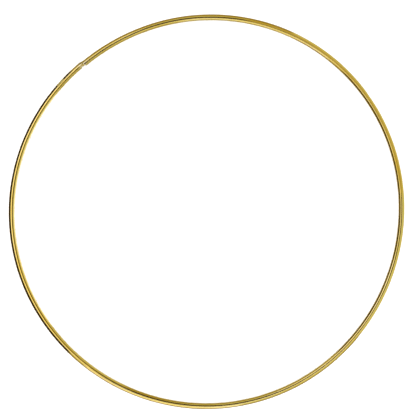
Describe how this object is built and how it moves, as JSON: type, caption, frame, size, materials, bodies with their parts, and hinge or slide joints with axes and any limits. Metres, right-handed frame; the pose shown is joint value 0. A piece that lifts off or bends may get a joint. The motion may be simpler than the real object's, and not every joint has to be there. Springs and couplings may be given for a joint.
{
  "type": "wreath frame",
  "caption": "Plain gold-coloured round-wire hoop, butt welded into a ring, used as the base that greenery, flowers and ribbon are bound to.",
  "frame": {"origin": "middle of the ring's footprint, on the surface that it lies on", "axes": "+Z along the ring's axis, up from the surface; +Y from the ring's middle towards the weld; +X to the right of that, seen from above"},
  "size_m": [0.3018, 0.2982, 0.0045],
  "materials": {
    "gold_plating": "polished brass plating over drawn steel wire, with faint lengthwise drawing lines",
    "weld_metal": "plated weld bead, satin and slightly rough"
  },
  "bodies": {
    "root": {"hoop_wire": "gold_plating", "butt_weld": "weld_metal"}
  },
  "joints": []
}
